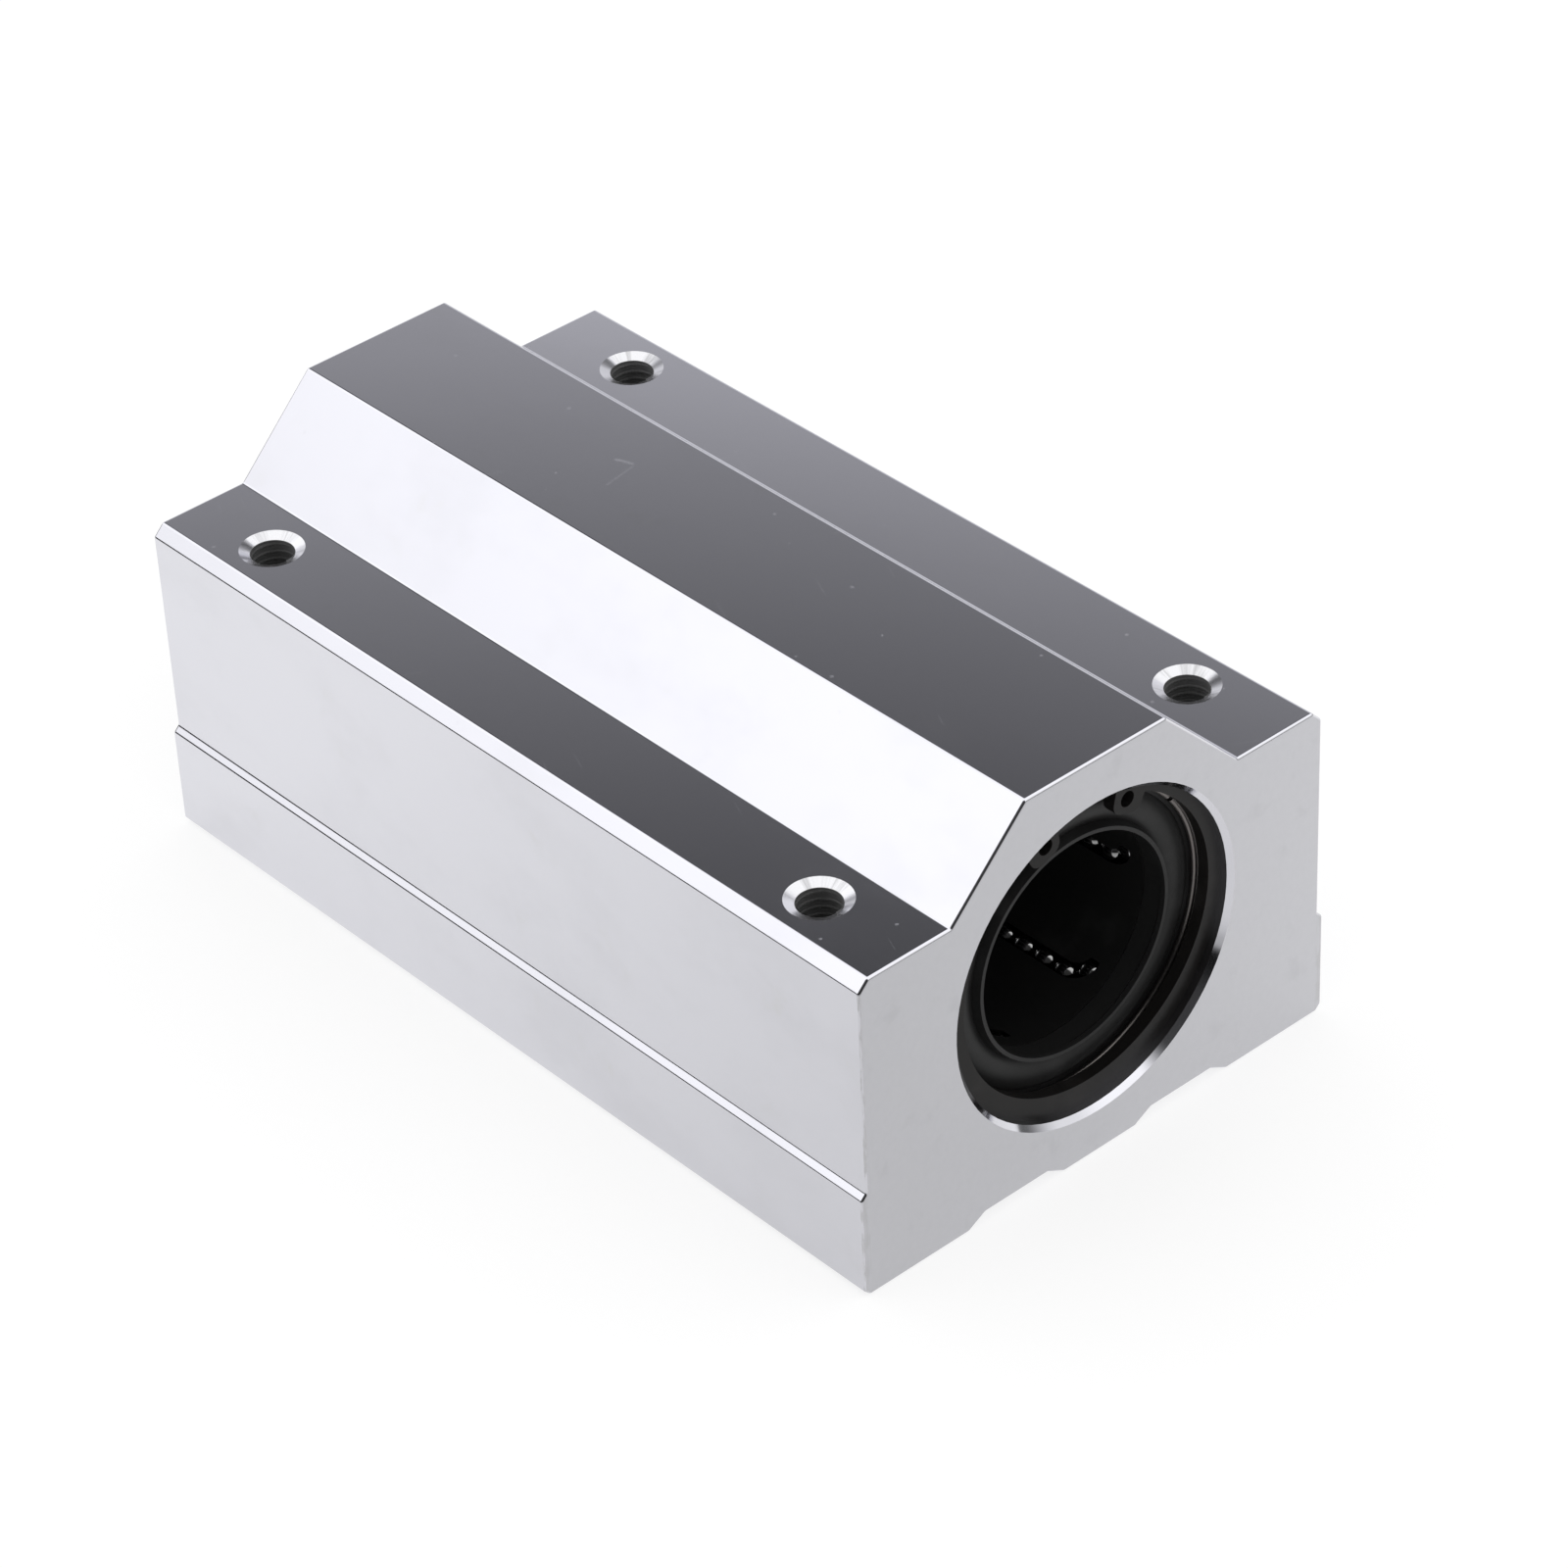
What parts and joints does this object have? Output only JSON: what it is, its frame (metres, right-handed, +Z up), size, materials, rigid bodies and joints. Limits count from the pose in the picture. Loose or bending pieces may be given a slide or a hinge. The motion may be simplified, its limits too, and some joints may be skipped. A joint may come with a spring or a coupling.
{
  "type": "linear bearing block",
  "caption": "Long aluminium block on two closed ball bushings that slides along a round shaft, with tapped holes in its shoulders and a relieved flat base.",
  "frame": {"origin": "middle of the base, under the middle of the bore", "axes": "+X along the shaft bore, +Y across the block, +Z up from the mounting base"},
  "size_m": [0.155, 0.09, 0.068],
  "materials": {
    "housing_aluminium": "machined, clear anodised, satin",
    "ring_steel": "phosphated spring steel, dark satin",
    "bearing_steel": "ground",
    "ball_steel": "polished",
    "spring_steel": "bright spring steel",
    "cage_resin": "moulded resin",
    "seal_rubber": "moulded rubber"
  },
  "bodies": {
    "root": {"housing": "housing_aluminium", "retaining_ring_front": "ring_steel", "retaining_ring_rear": "ring_steel", "spacer_ring": "bearing_steel", "bushing_sleeve_front": "bearing_steel", "ball_cage_front": "cage_resin", "shaft_seal_front_outer": "seal_rubber", "shaft_seal_front_inner": "seal_rubber", "snap_ring_front_outer": "spring_steel", "snap_ring_front_inner": "spring_steel", "ball_circuit_front_1": "ball_steel", "ball_circuit_front_2": "ball_steel", "ball_circuit_front_3": "ball_steel", "ball_circuit_front_4": "ball_steel", "ball_circuit_front_5": "ball_steel", "ball_circuit_front_6": "ball_steel", "bushing_sleeve_rear": "bearing_steel", "ball_cage_rear": "cage_resin", "shaft_seal_rear_outer": "seal_rubber", "shaft_seal_rear_inner": "seal_rubber", "snap_ring_rear_outer": "spring_steel", "snap_ring_rear_inner": "spring_steel", "ball_circuit_rear_1": "ball_steel", "ball_circuit_rear_2": "ball_steel", "ball_circuit_rear_3": "ball_steel", "ball_circuit_rear_4": "ball_steel", "ball_circuit_rear_5": "ball_steel", "ball_circuit_rear_6": "ball_steel"}
  },
  "joints": []
}
